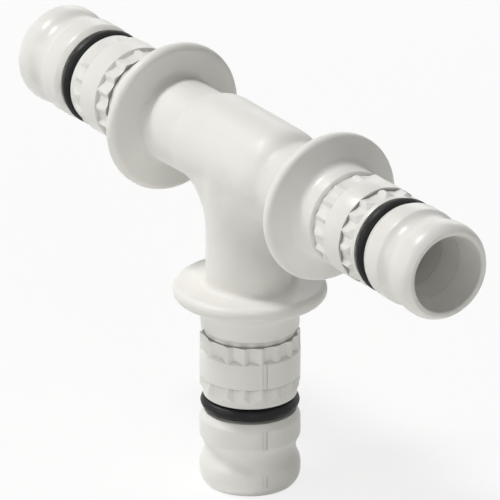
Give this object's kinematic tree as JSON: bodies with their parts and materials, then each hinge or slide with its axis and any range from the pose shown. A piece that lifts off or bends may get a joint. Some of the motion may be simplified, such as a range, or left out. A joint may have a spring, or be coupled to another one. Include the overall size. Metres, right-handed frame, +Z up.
{
  "type": "press tee",
  "caption": "Equal press tee for multilayer pipe: a blended moulded body whose flanged, toothed inserts each carry a rubber sealing ring in a groove.",
  "frame": {"origin": "centre of the branch insert's end face, on the surface that the tee stands on", "axes": "+X along the run towards the right insert, +Z up against the branch, +Y across the run"},
  "size_m": [0.1012, 0.0226, 0.0619],
  "materials": {
    "white_plastic": "satin, as moulded",
    "black_rubber": "soft satin, lightly greased"
  },
  "bodies": {
    "root": {"tee_body": "white_plastic", "o_ring_left": "black_rubber", "o_ring_right": "black_rubber", "o_ring_branch": "black_rubber"}
  },
  "joints": []
}
